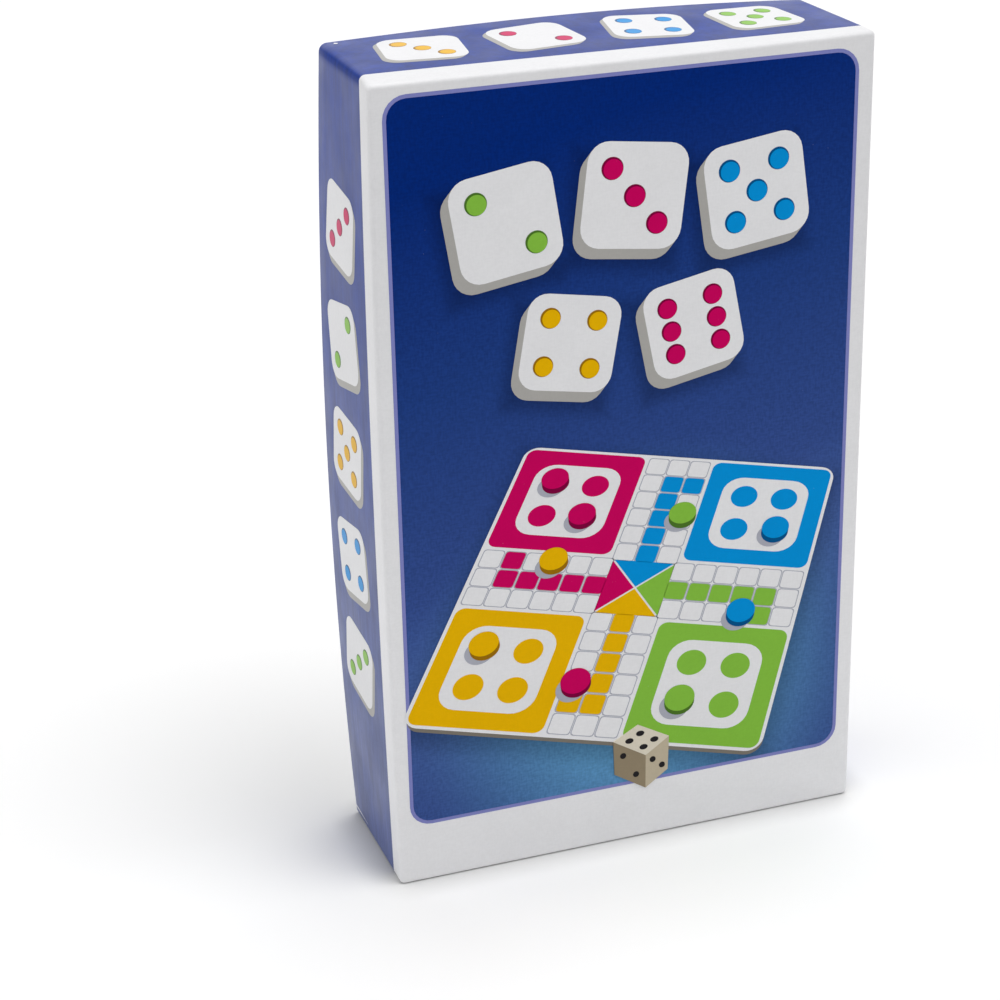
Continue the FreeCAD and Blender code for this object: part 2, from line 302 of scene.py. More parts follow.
def shadow_on(surface, corners, spread, dark):
    """Share of light left by the soft shadow of a convex shape with clockwise corners on the front."""
    distance = None
    for (xa, za), (xb, zb) in zip(corners, corners[1:] + corners[:1]):
        length = math.hypot(xb - xa, zb - za)
        out_x = (za - zb) / length
        out_z = (xb - xa) / length
        across = surface.step(
            "ShaderNodeVectorMath", {0: surface.place, 1: (out_x, 0.0, out_z)}, operation="DOT_PRODUCT"
        ).outputs["Value"]
        beyond = surface.math("SUBTRACT", across, (out_x * xa + out_z * za) * MM)
        distance = beyond if distance is None else surface.math("MAXIMUM", distance, beyond)
    return surface.ramp(distance, -SHADOW_INSIDE * spread * MM, spread * MM, 1.0 - dark, 1.0)


def panel_blue_painted_light(shadows):
    """The front's blue: dark at the top, paler below and, as painted light, a little paler to the right, with
    a glow at the foot and the motifs' shadows.
    """
    surface = Surface("panel_blue_painted_light", FRONT_SHINE)
    # Painted light: the fade leans so that the blue is paler towards the right.
    leaning_with_painted_light = surface.math("SUBTRACT", surface.z, surface.math("MULTIPLY", surface.x, PANEL_PAINTED_LIGHT_LEAN))
    low = PANEL_FADE[0][0]
    high = PANEL_FADE[-1][0]
    height = surface.step("ShaderNodeMapRange", {0: leaning_with_painted_light, 1: low * MM, 2: high * MM}).outputs[0]
    fade = surface.step("ShaderNodeValToRGB", {0: height})
    stops = fade.color_ramp.elements
    stops[0].color = PANEL_FADE[0][1]
    stops[1].color = PANEL_FADE[-1][1]
    for level, colour in PANEL_FADE[1:-1]:
        stops.new((level - low) / (high - low)).color = colour
    across = surface.math("POWER", surface.math("SUBTRACT", surface.x, GLOW_X * MM), 2)
    up = surface.math("POWER", surface.math("SUBTRACT", surface.z, GLOW_Z * MM), 2)
    reach = surface.math("SQRT", surface.math("ADD", across, up))
    glow = surface.ramp(reach, GLOW_REACH * MM, 0.0, 0.0, 1.0)
    colour = surface.blend(glow, fade.outputs[0], GLOW_BLUE)
    for corners, spread, dark in shadows:
        colour = surface.shaded(colour, shadow_on(surface, corners, spread, dark))
    return laminated(surface, colour, PANEL_CONTRAST)


def wall_blue_painted_sheen():
    """The walls' blue: paler to the foot, in patches, with streaks of painted sheen, and dull along the fold
    at the top left.
    """
    surface = Surface("wrap_blue_painted_sheen", WALL_SHINE)
    down = surface.ramp(surface.z, PALING_HIGH * MM, PALING_LOW * MM)
    below = surface.math("MAXIMUM", surface.math("SUBTRACT", LID_HEIGHT * MM, surface.z), 0.0)
    beside = surface.math("MAXIMUM", surface.math("ADD", surface.x, LID_WIDTH / 2 * MM), 0.0)
    from_fold = surface.math("ADD", below, surface.math("DIVIDE", beside, FOLD_ON_TOP))
    surface.shine(surface.ramp(from_fold, FOLD_FLAT * MM, FOLD_WIDTH * MM, FOLD_SHINE, WALL_SHINE))
    patches = surface.spread(surface.noise(6.0, stretch=(1.0, 1.0, 2.5), detail=4.0), 0.88, 1.12)
    # Painted sheen: lighter and darker streaks in the colour stand for the film's wrinkles catching the
    # light.
    painted_sheen_streaks = surface.spread(surface.noise(1.2, stretch=(1.0, 1.0, 7.0), detail=3.0), 0.86, 1.14)
    tone = surface.math("MULTIPLY", patches, painted_sheen_streaks)
    colour = surface.shaded(surface.blend(down, WALL_BLUE, WALL_PALE_BLUE), tone)
    return laminated(surface, colour, WALL_CONTRAST)


def wall_white_painted_shading():
    """The wrap's white, which lies at the front's edges and a little way round them; painted shade darkens it
    on the front and painted light brightens it towards the foot.
    """
    surface = Surface("wrap_white_painted_shading", WALL_SHINE)
    edge_end = LID_FACE_Y + LID_EDGE_ROUND
    # Painted shade: the white is darker on the front face than on its round edge and the walls.
    round_edge = surface.ramp(surface.y, LID_FACE_Y * MM, edge_end * MM, FRONT_PAINTED_SHADE, 1.0)
    # Painted light: the white grows lighter from the top down to the foot.
    down = surface.ramp(surface.z, LID_HEIGHT * MM, 0.0, 1.0, FOOT_PAINTED_LIGHT)
    return laminated(surface, surface.shaded(PAPER_WHITE, surface.math("MULTIPLY", round_edge, down)))


def fibres(name, colour, grain, contrast, depth, roughness=0.9):
    """Uncoated paper or board: short fibres, flecks and a dull face."""
    surface = Surface(name, 0.2)
    surface.roughness(roughness)
    strands = surface.noise(grain, stretch=(4.0, 1.0, 1.0), detail=6.0)
    crossed = surface.noise(grain, stretch=(1.0, 1.0, 4.0), detail=6.0)
    felt = surface.math("MULTIPLY", surface.math("ADD", strands, crossed), 0.5)
    tone = surface.spread(felt, 1.0 - contrast, 1.0 + contrast)
    fleck = surface.ramp(surface.noise(grain * 0.6, detail=1.0), 0.7, 0.8, 0.0, contrast * 2)
    surface.colour(surface.blend(fleck, surface.shaded(colour, tone), FLECK_BROWN))
    surface.bump(felt, depth)
    return surface.material


def pale_wood():
    """Light wood with long grain up the die and short dark pores."""
    surface = Surface("pale_wood", 0.3)
    surface.roughness(0.55)
    grain = surface.noise(1.1, stretch=(1.0, 1.0, 9.0), detail=5.0)
    pores = surface.noise(0.25, stretch=(1.0, 1.0, 8.0), detail=2.0)
    tone = surface.blend(surface.ramp(grain, 0.32, 0.68), WOOD_LIGHT, WOOD_DARK)
    surface.colour(surface.blend(surface.ramp(pores, 0.62, 0.75, 0.0, 0.5), tone, WOOD_PORE))
    surface.bump(grain, 0.05)
    return surface.material


def ink_set(kind, specular):
    """One print material for each colour, all with the same shine."""
    colours = {**PRINT, **TEAM}
    for team, shade in TEAM_SHADE.items():
        colours["shade_" + team] = shade
    return {name: plain_ink(f"{kind}_{name}", colour, specular) for name, colour in colours.items()}


# Outlines on a flat face, as lists of points


def circle(x, z, radius, count=36):
    turns = [2 * math.pi * i / count for i in range(count)]
    return [(x + radius * math.cos(t), z + radius * math.sin(t)) for t in turns]


def placed(outline, turn, x=0.0, z=0.0):
    """An outline turned about its origin by the given degrees, with the origin then moved to (x, z)."""
    cos = math.cos(math.radians(turn))
    sin = math.sin(math.radians(turn))
    return [(x + a * cos - b * sin, z + a * sin + b * cos) for a, b in outline]


def rounded_box(x, z, width, height, radius, turn=0.0, count=7):
    """A rectangle about (x, z) with round corners, turned by the given degrees."""
    points = []
    for corner in range(4):
        side_x = 1 if corner in (0, 3) else -1
        side_z = 1 if corner in (0, 1) else -1
        middle_x = side_x * (width / 2 - radius)
        middle_z = side_z * (height / 2 - radius)
        for i in range(count):
            angle = math.pi / 2 * (corner + i / (count - 1))
            points.append((middle_x + radius * math.cos(angle), middle_z + radius * math.sin(angle)))
    return placed(points, turn, x, z)


def hull(points):
    """The convex outline round some points."""
    ordered = sorted(set(points))
    chains = []
    for run in (ordered, ordered[::-1]):
        chain = []
        for p in run:
            while len(chain) > 1:
                (ax, az), (bx, bz) = chain[-2:]
                if (bx - ax) * (p[1] - az) - (bz - az) * (p[0] - ax) > 0:
                    break
                chain.pop()
            chain.append(p)
        chains += chain[:-1]
    return chains


# Where a flat outline lands on the model


def eased(value):
    """A smooth step from 0 to 1."""
    share = min(1.0, max(0.0, value))
    return share * share * (3 - 2 * share)


def lid_share(y):
    """How much of the lid's bow has built up at a depth."""
    return max(0.0, (y - BOW_START_Y) / (LID_RIM_Y - BOW_START_Y))


def side_bow(y, front_bow=0.0, rear_bow=LID_SIDE_BOW):
    """How far a side wall bows out at half height, at a depth."""
    return front_bow + (rear_bow - front_bow) * lid_share(y)


def left_bow(y):
    return side_bow(y, LEFT_EDGE_BOW, LEFT_REAR_BOW)


def top_level(x, y):
    """Height of the top wall without its bow: it swells behind the front edge and towards both its ends."""
    left = 0.5 - x / LID_WIDTH
    swell = eased((y - LID_FACE_Y) / (WHITE_WRAP_Y - LID_FACE_Y))
    settle = max(0.0, (y - WHITE_WRAP_Y) / (LID_RIM_Y - WHITE_WRAP_Y))
    rise = TOP_SWELL * left * swell * (1 - settle) + REAR_SWELL * left ** END_STEEPNESS * settle
    return LID_HEIGHT - TOP_EDGE_DROP * (1 - swell) + rise + RIGHT_SWELL * (1 - left) ** END_STEEPNESS


def crown(place, half):
    """Share of a bow at a place along a wall that reaches half to either side of its middle."""
    return 1 - (place / half) ** 2


def on_front(x, z, rise):
    return (x, LID_FACE_Y - rise, z)


def wall_crown(z, high):
    """Share of a side wall's bow at a height; the wall runs from the bottom's corner up to high."""
    return crown(z - (high + LID_CORNER_ROUND) / 2, (high - LID_CORNER_ROUND) / 2)


def on_left(y, z, rise):
    worn = LID_CORNER_ROUND + WORN_CORNER * lid_share(y)
    high = top_level(worn - LID_WIDTH / 2, y) - worn
    return (-LID_WIDTH / 2 - left_bow(y) * wall_crown(z, high) - rise, y, z)


def on_right(y, z, rise):
    high = top_level(LID_WIDTH / 2 - LID_CORNER_ROUND, y) - LID_CORNER_ROUND
    return (LID_WIDTH / 2 + side_bow(y) * wall_crown(z, high) + rise, y, z)


def on_top(x, y, rise):
    bow = LID_TOP_BOW * lid_share(y) * crown(x, LID_WIDTH / 2 - LID_CORNER_ROUND)
    return (x, y, top_level(x, y) + bow + rise)


def band(low, high, count):
    """Quads between two closed loops of points, given by the numbers of their first points."""
    faces = []
    for i in range(count):
        after = (i + 1) % count
        faces.append((low + i, low + after, high + after, high + i))
    return faces


class Sketch:
    """Closed thin solids, each with its own material, gathered into one mesh."""

    def __init__(self, place):
        self.place = place
        self.points = []
        self.faces = []
        self.slots = []
        self.materials = []

    def add(self, points, faces, material):
        start = len(self.points)
        if material not in self.materials:
            self.materials.append(material)
        self.points += points
        self.faces += [tuple(start + i for i in face) for face in faces]
        self.slots += [self.materials.index(material)] * len(faces)

    def lift(self, outline, level):
        """An outline just under the face, and again at the top of a level's layer of ink."""
        points = []
        for rise in (-INK_ROOT, INK * level):
            points += [self.place(a, b, rise) for a, b in outline]
        return points

    def plate(self, outline, level, material, fan=False):
        """A plate of ink; a fan of triangles lets it follow a bowed face."""
        count = len(outline)
        points = self.lift(outline, level)
        faces = band(0, count, count)
        if fan:
            a = sum(p[0] for p in outline) / count
            b = sum(p[1] for p in outline) / count
            points += self.lift([(a, b)], level)
            for i in range(count):
                after = (i + 1) % count
                faces.append((i, after, 2 * count))
                faces.append((count + i, count + after, 2 * count + 1))
        else:
            faces.append(tuple(range(count)))
            faces.append(tuple(range(count, 2 * count)))
        self.add(points, faces, material)

    def ring(self, outer, inner, level, material):
        """A flat ring between two outlines with the same number of points."""
        count = len(outer)
        points = self.lift(outer, level) + self.lift(inner, level)
        faces = []
        for first, second in ((0, 1), (1, 3), (3, 2), (2, 0)):
            faces += band(first * count, second * count, count)
        self.add(points, faces, material)

    def make(self, name, body="lid"):
        make_piece(name, self.points, self.faces, self.slots, self.materials, body)


def show(name, data):
    """A new object in the scene from a mesh, a lamp or a camera."""
    made = bpy.data.objects.new(name, data)
    bpy.context.scene.collection.objects.link(made)
    return made


def make_piece(name, points, faces, slots, materials, body, smooth_angle=None):
    """A mesh object from points in millimetres, riding on a body."""
    mesh = bpy.data.meshes.new(name)
    mesh.from_pydata([Vector(p) * MM for p in points], [], faces)
    for material in materials:
        mesh.materials.append(material)
    mesh.polygons.foreach_set("material_index", slots)
    shape = bmesh.new()
    shape.from_mesh(mesh)
    bmesh.ops.recalc_face_normals(shape, faces=shape.faces)
    shape.to_mesh(mesh)
    shape.free()
    if smooth_angle:
        mesh.shade_smooth()
        mesh.set_sharp_from_angle(angle=math.radians(smooth_angle))
    piece = show(name, mesh)
    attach(piece, body)
    return piece


def swept(name, rings, bands, materials, body, smooth_angle):
    """A closed skin through rings of equal counts; bands gives each band's material, then both end caps'."""
    count = len(rings[0])
    points = [p for ring in rings for p in ring]
    faces = []
    slots = []
    for ring in range(len(rings) - 1):
        faces += band(ring * count, (ring + 1) * count, count)
        slots += [bands[ring]] * count
    faces.append(tuple(range(count)))
    faces.append(tuple(range(len(points) - count, len(points))))
    slots += bands[-2:]
    return make_piece(name, points, faces, slots, materials, body, smooth_angle)


def lid_outline(inset, y, swollen):
    """Points round the lid at a depth, inset from its outer faces, with or without the swellings."""
    half = LID_WIDTH / 2 - inset
    low = inset
    corner = max(LID_CORNER_ROUND - inset, RIM_ROUND)
    bow = left_bow(y) if swollen else side_bow(y)
    worn = max(LID_CORNER_ROUND + WORN_CORNER * lid_share(y) - inset, RIM_ROUND) if swollen else corner
    points = []

    def high(x):
        return (top_level(x, y) if swollen else LID_HEIGHT) - inset

    def run(start, end, bow_x, steps):
        for i in range(steps):
            t = i / steps
            x = start[0] + (end[0] - start[0]) * t + bow_x * crown(2 * t - 1, 1)
            points.append((x, y, start[1] + (end[1] - start[1]) * t))

    def top_run(start, end):
        for i in range(TOP_STEPS):
            t = i / TOP_STEPS
            x = start + (end - start) * t
            points.append((x, y, high(x) + LID_TOP_BOW * lid_share(y) * crown(2 * t - 1, 1)))

    def turn(x, z, start, radius):
        for i in range(CORNER_STEPS):
            angle = math.radians(start + 90 * i / CORNER_STEPS)
            points.append((x + radius * math.cos(angle), y, z + radius * math.sin(angle)))

    right_high = high(half - corner) - corner
    left_high = high(worn - half) - worn
    run((corner - half, low), (half - corner, low), 0.0, BOTTOM_STEPS)
    turn(half - corner, low + corner, -90, corner)
    run((half, low + corner), (half, right_high), side_bow(y), SIDE_STEPS)
    turn(half - corner, right_high, 0, corner)
    top_run(half - corner, worn - half)
    turn(worn - half, left_high, 90, worn)
    run((-half, left_high), (-half, low + corner), -bow, SIDE_STEPS)
    turn(corner - half, low + corner, 180, corner)
    return points


def lid_skin():
    """The printed paper round the lid's board, from the front over the rim to its turned-in hem."""
    white, blue, inside = range(3)
    materials = [
        wall_white_painted_shading(),
        wall_blue_painted_sheen(),
        fibres("wrap_inside", PAPER_WHITE, 0.6, 0.04, 0.01),
    ]
    quarter = [math.radians(90 * i / EDGE_STEPS) for i in range(EDGE_STEPS + 1)]
    path = []

    def round_edge(angles, inward, material):
        radius = LID_EDGE_ROUND - inward
        for angle in angles:
            inset = LID_EDGE_ROUND - radius * math.sin(angle)
            path.append((inset, LID_FACE_Y + inward + radius * (1 - math.cos(angle)), material))

    round_edge(quarter, 0.0, white)
    path += [(0.0, y, white) for y in WHITE_RINGS_Y]
    path += [(0.0, y, blue) for y in BLUE_RINGS_Y]
    path += [(RIM_BEVEL, LID_RIM_Y - RIM_BEVEL, blue), (RIM_ROUND, LID_RIM_Y, blue)]
    outer_count = len(path)
    path += [
        (RIM_WALL - RIM_ROUND, LID_RIM_Y, blue),
        (RIM_WALL - RIM_BEVEL, LID_RIM_Y - RIM_BEVEL, blue),
        (RIM_WALL, LID_RIM_Y - RIM_ROUND, blue),
        (RIM_WALL, LID_RIM_Y - BLUE_TURN_IN, white),
        (RIM_WALL, LID_RIM_Y - TURN_IN, inside),
        (WALL, LID_RIM_Y - TURN_IN, inside),
        (WALL, LID_RIM_Y - PAPER, inside),
    ]
    path += [(PAPER, y, inside) for y in INSIDE_RINGS_Y]
    round_edge(reversed(quarter), PAPER, inside)
    rings = [lid_outline(inset, y, i < outer_count) for i, (inset, y, _) in enumerate(path)]
    bands = [material for _, _, material in path[:-1]] + [white, inside]
    skin = swept("lid_skin", rings, bands, materials, "lid", smooth_angle=40)
    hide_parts("lid_wrap")


# Where a die's pips lie on each face, by their number
PIP_LAYOUT = {
    1: [(0, 0)],
    2: [(-1, 1), (1, -1)],
    3: [(-1, 1), (0, 0), (1, -1)],
    4: [(-1, 1), (1, 1), (-1, -1), (1, -1)],
    5: [(-1, 1), (1, 1), (0, 0), (-1, -1), (1, -1)],
    6: [(-1, 1), (1, 1), (-1, 0), (1, 0), (-1, -1), (1, -1)],
}

# Drawn dice faces as shares of their size: corners, the pips' spacing and radius, and a pip's paler middle
FACE_ROUND = 0.2
FACE_PIP_STEP = 0.25
FACE_PIP = 0.108
PIP_FACE = 0.095
PIP_FACE_SHIFT = 0.008


def dice_face(sketch, inks, x, z, size, turn, count, team, level, depth):
    """A white dice face with coloured pips, drawn with some depth by a grey side."""
    face = rounded_box(x, z, size, size, FACE_ROUND * size, turn)
    sketch.plate(hull(face + [(a + depth[0], b + depth[1]) for a, b in face]), level, inks["side"], fan=True)
    sketch.plate(face, level + 1, inks["white"], fan=True)
    step = FACE_PIP_STEP * size
    shift = PIP_FACE_SHIFT * size
    for pip_x, pip_z in placed([(a * step, b * step) for a, b in PIP_LAYOUT[count]], turn, x, z):
        sketch.plate(circle(pip_x, pip_z, FACE_PIP * size), level + 2, inks["shade_" + team], fan=True)
        sketch.plate(circle(pip_x + shift, pip_z - shift, PIP_FACE * size), level + 3, inks[team], fan=True)


# Picture of a square ludo board on the front: its place, scale and the view it is drawn in
PICTURE_X = 1.0
PICTURE_Z = 63.0
PICTURE_SCALE = 246.0
PICTURE_DISTANCE = 6.0
PICTURE_LIFT = math.radians(54)
PICTURE_TURN = -17
PICTURE_LEVEL = 3

# The pictured board, whose sides run from -1 to 1, and its counters
BOARD_ROUND = 0.09
BOARD_SIDE_DROP = 0.045
COUNTER_PICTURE_RADIUS = 0.082
COUNTER_PICTURE_HEIGHT = 0.045
COUNTER_PICTURE_SHADOW = (-0.02, -0.03)

# The same board in cells, fifteen to a side: yards with nests and spots, squares, middle wedges and counters
CELL = 2 / 15
YARD_MIDDLE = -4.5
YARD_SIDE = 5.7
YARD_ROUND = 0.4
NEST_SIDE = 4.1
NEST_ROUND = 0.9
SPOT_STEP = 0.95
SPOT_RADIUS = 0.62
FIRST_ROW = -6.85
SQUARE_SIDE = 0.9
SQUARE_RIM_SIDE = 0.98
SQUARE_ROUND = 0.12
WEDGE = [(0.0, -0.06), (-1.36, -1.42), (1.36, -1.42)]
BOARD_COUNTERS = [
    (-5.45, 5.45, "pink"),
    (-3.55, 3.55, "pink"),
    (5.45, 3.55, "blue"),
    (3.55, -5.45, "green"),
    (-5.45, -3.55, "yellow"),
    (1.0, 4.0, "green"),
    (-4.0, 1.0, "yellow"),
    (-1.0, -5.0, "pink"),
    (5.0, -1.0, "blue"),
]


def pictured(outline, rise=0.0):
    """Where an outline on the pictured board, at a rise above it, is drawn on the front."""
    points = []
    for x, y in placed(outline, PICTURE_TURN):
        far = PICTURE_DISTANCE + y * math.cos(PICTURE_LIFT) - rise * math.sin(PICTURE_LIFT)
        up = y * math.sin(PICTURE_LIFT) + rise * math.cos(PICTURE_LIFT)
        points.append((PICTURE_X + PICTURE_SCALE * x / far, PICTURE_Z + PICTURE_SCALE * up / far))
    return points


def pictured_counter(sketch, inks, a, b, team, level):
    """A flat counter lying on the pictured board, with its shadow and its edge."""
    radius = COUNTER_PICTURE_RADIUS
    shadow = circle(a + COUNTER_PICTURE_SHADOW[0], b + COUNTER_PICTURE_SHADOW[1], radius)
    sketch.plate(pictured(shadow), level, inks["line"])
    low = pictured(circle(a, b, radius))
    high = pictured(circle(a, b, radius), COUNTER_PICTURE_HEIGHT)
    sketch.plate(hull(low + high), level + 1, inks["shade_" + team])
    sketch.plate(high, level + 2, inks[team])


def cell_box(column, row, side, radius, count=7):
    """A square with round corners, sized and placed in cells of the pictured board."""
    return rounded_box(column * CELL, row * CELL, side * CELL, side * CELL, radius * CELL, count=count)


def board_picture(sketch, inks, level):
    """A traditional ludo board: four yards, a cross of squares, coloured home rows and counters in play."""
    plate = rounded_box(0, 0, 2.0, 2.0, BOARD_ROUND)
    top = pictured(plate)
    sketch.plate(hull(top + pictured(plate, -BOARD_SIDE_DROP)), level, inks["edge"])
    sketch.plate(top, level + 1, inks["white"])
    for quarter, team in enumerate(("yellow", "pink", "blue", "green")):

        def draw(outline, height, ink):
            sketch.plate(pictured(placed(outline, -90 * quarter)), level + height, inks[ink])

        draw(cell_box(YARD_MIDDLE, YARD_MIDDLE, YARD_SIDE, YARD_ROUND), 2, team)
        draw(cell_box(YARD_MIDDLE, YARD_MIDDLE, NEST_SIDE, NEST_ROUND), 3, "white")
        for a, b in ((-1, -1), (1, -1), (1, 1), (-1, 1)):
            spot_x = (YARD_MIDDLE + SPOT_STEP * a) * CELL
            spot_y = (YARD_MIDDLE + SPOT_STEP * b) * CELL
            draw(circle(spot_x, spot_y, SPOT_RADIUS * CELL), 4, team)
        for column in (-1, 0, 1):
            for row in range(6):
                home = (column == 0 and row > 0) or (column == -1 and row == 1)
                draw(cell_box(column, FIRST_ROW + row, SQUARE_RIM_SIDE, SQUARE_ROUND, 3), 2, "line")
                square = cell_box(column, FIRST_ROW + row, SQUARE_SIDE, SQUARE_ROUND, 3)
                draw(square, 3, team if home else "white")
        draw([(a * CELL, b * CELL) for a, b in WEDGE], 3, team)
    for column, row, team in BOARD_COUNTERS:
        pictured_counter(sketch, inks, column * CELL, row * CELL, team, level + 5)


# Small wooden die drawn before the board: its place, size and layer
DRAWN_DIE_X = 2.5
DRAWN_DIE_Z = 25.0
DRAWN_DIE_SIZE = 13.5
DRAWN_DIE_LEVEL = 12

# The same die as shares of its size: its top's left, near, right and far corners, its sides and its pips
DRAWN_TOP = [(-0.5, 0.06), (0.08, -0.3), (0.5, -0.02), (-0.06, 0.3)]
DRAWN_DROP = 0.62
DRAWN_TAPER = 0.04
TOP_PIPS = [(0.28, 0.28), (0.72, 0.28), (0.28, 0.72), (0.72, 0.72)]
SIDE_PIPS = [0.3, 0.7]
TOP_PIP = 0.05
TOP_PIP_STRETCH = 1.5
SIDE_PIP = 0.055
PIP_POINTS = 20


def drawn_die(sketch, inks, level):
    """A small wooden die drawn from above: two side faces, a top and dark pips."""
    size = DRAWN_DIE_SIZE
    top = [(DRAWN_DIE_X + a * size, DRAWN_DIE_Z + b * size) for a, b in DRAWN_TOP]
    left, near, right, far = top
    drop = DRAWN_DROP * size

    def below(point):
        return (point[0] * (1 - DRAWN_TAPER) + DRAWN_DIE_X * DRAWN_TAPER, point[1] - drop)

    sketch.plate([left, near, below(near), below(left)], level, inks["wood_shade"])
    sketch.plate([near, right, below(right), below(near)], level, inks["wood_dark"])
    sketch.plate(top, level + 1, inks["wood"])
    for u, v in TOP_PIPS:
        x, z = [a + (b - a) * u + (c - a) * v for a, b, c in zip(left, near, far)]
        pip = circle(x, z, TOP_PIP * size, PIP_POINTS)
        sketch.plate([(x + TOP_PIP_STRETCH * (p - x), q) for p, q in pip], level + 2, inks["pip"])
    for share in SIDE_PIPS:
        for start, end in ((left, near), (near, right)):
            x, z = [a + (b - a) * share for a, b in zip(start, end)]
            sketch.plate(circle(x, z - share * drop, SIDE_PIP * size, PIP_POINTS), level + 1, inks["pip"])


# Large dice on the front: place, size, tilt, pips and colour
FRONT_DICE = [
    (-27.0, 149.0, 22.5, 9.0, 2, "green"),
    (1.0, 151.5, 22.5, -7.0, 3, "pink"),
    (28.5, 149.5, 22.5, 8.0, 5, "blue"),
    (-13.5, 121.5, 21.0, -10.0, 4, "yellow"),
    (14.5, 122.0, 21.0, 11.0, 6, "pink"),
]
FRONT_DICE_DEPTH = (-1.7, -2.0)
FRONT_DICE_LEVEL = 2

# Dice on the side walls, by height, and on the top, from left to right: place, tilt, pips and colour
WALL_DICE = [
    (146.0, 8.0, 3, "pink"),
    (121.0, -9.0, 2, "green"),
    (96.0, 7.0, 5, "yellow"),
    (71.0, -6.0, 4, "blue"),
    (46.0, 10.0, 3, "green"),
]
TOP_DICE = [
    (-37.0, -7.0, 3, "yellow"),
    (-12.5, 8.0, 2, "pink"),
    (12.5, -9.0, 4, "blue"),
    (37.0, 6.0, 5, "green"),
]
WALL_DICE_SIZE = 17.0
WALL_DICE_Y = 3.0
WALL_DICE_DEPTH = (-1.2, -1.4)


def front_shadows():
    """Corners, softness and depth of the shadows of the large dice and of the pictured board."""
    square = [(-1, 1), (1, 1), (1, -1), (-1, -1)]
    shift_x, shift_z = DICE_SHADOW_SHIFT
    shadows = []
    for x, z, size, turn, _, _ in FRONT_DICE:
        face = [(a * size / 2, b * size / 2) for a, b in square]
        corners = placed(face, turn, x + shift_x, z + shift_z)
        shadows.append((corners, DICE_SHADOW_SPREAD, DICE_SHADOW_DARK))
    shadows.append((pictured(square, -BOARD_SHADOW_DROP), BOARD_SHADOW_SPREAD, BOARD_SHADOW_DARK))
    return shadows


def panel_outline(inset):
    """The panel's outline, drawn in by an inset."""
    width = PANEL_RIGHT - PANEL_LEFT - 2 * inset
    height = PANEL_HIGH - PANEL_LOW - 2 * inset
    middle_x = (PANEL_LEFT + PANEL_RIGHT) / 2
    middle_z = (PANEL_LOW + PANEL_HIGH) / 2
    return rounded_box(middle_x, middle_z, width, height, PANEL_ROUND - inset)


def front_print():
    """The blue panel with its line, the large dice, and the board picture with a die before it."""
    inks = ink_set("front", FRONT_SHINE)
    panel = Sketch(on_front)
    panel.plate(panel_outline(0.0), 1, panel_blue_painted_light(front_shadows()))
    panel.ring(panel_outline(0.0), panel_outline(PANEL_LINE), 2, inks["lilac"])
    panel.make("front_panel")
    dice = Sketch(on_front)
    for die in FRONT_DICE:
        dice_face(dice, inks, *die, FRONT_DICE_LEVEL, FRONT_DICE_DEPTH)
    dice.make("front_dice")
    picture = Sketch(on_front)
    board_picture(picture, inks, PICTURE_LEVEL)
    drawn_die(picture, inks, DRAWN_DIE_LEVEL)
    picture.make("front_board_picture")


def wall_print(inks):
    """The smaller dice down the side walls and across the top."""
    for name, place, mirror in (("left_dice", on_left, 1), ("right_dice", on_right, -1)):
        wall = Sketch(place)
        for z, turn, count, team in WALL_DICE:
            dice_face(
                wall, inks, WALL_DICE_Y, z, WALL_DICE_SIZE, mirror * turn, count, team, 1, WALL_DICE_DEPTH
            )
        wall.make(name)
    roof = Sketch(on_top)
    for x, turn, count, team in TOP_DICE:
        dice_face(roof, inks, x, WALL_DICE_Y, WALL_DICE_SIZE, turn, count, team, 1, WALL_DICE_DEPTH)
    roof.make("top_dice")


# Bare paper: a chip by the top's rear corner, as X and Y, and a line at the left wall's foot, as Y and Z
CHIP = [(-52.4, 14.6), (-51.7, 14.2), (-51.3, 14.9), (-51.9, 15.5)]
PAPER_END = [(16.6, 1.9), (16.6, 2.4), (12.0, 2.25), (7.5, 1.9)]


def wear(inks):
    """The worn chip, and the line where the left wall's wrap ends."""
    for name, place, outline in (("worn_chip", on_top, CHIP), ("paper_end", on_left, PAPER_END)):
        patch = Sketch(place)
        patch.plate(outline, 1, inks["white"])
        patch.make(name)


def paint(node, material):
    """Gives a CAD node a material."""
    node_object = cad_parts[node]
    if not node_object.material_slots:
        node_object.data.materials.append(material)
    for place in node_object.material_slots:
        place.material = material


# Track printed on the board, about its middle: the rings' spacing and the side rows' distance from the middle
TRACK_STEP = 15.0
TRACK_SIDE = 22.5
TRACK_ROWS = 6
TRACK_RING = 5.6
TRACK_LINE = 0.6
HOME_SPOT = 4.6

# Ring that a team starts from: the width of its line, and its layer, which stays below the next arm
START_LINE = 1.6
START_LEVEL = 4.5

# Coloured end of an arm, across and along it, with a white field over it and a white slope on either side
BAND_START = 84.0
FIELD_START = BAND_START - 8.0
FIELD_HALF = 32.0
FIELD_END = 111.0
FIELD_ROUND = 7.0
SLOPE_START = BAND_START - 1.0
SLOPE_END = BAND_START + 11.0

# An arm's end, with the places of its four waiting counters
ARM_HALF = 46.7
ARM_END = 142.7
ARM_END_ROUND = 13.7
WAITING_STEP = 19.6
WAITING_ALONG = 127.0
WAITING_SPOT = 9.7

# Where the board's middle lies for a packed arm, and how far a corner of its flat front may stand back
ARM_MIDDLE_X = -3.0
ARM_MIDDLE_Z = 147.4
FLAT_WITHIN = 0.01


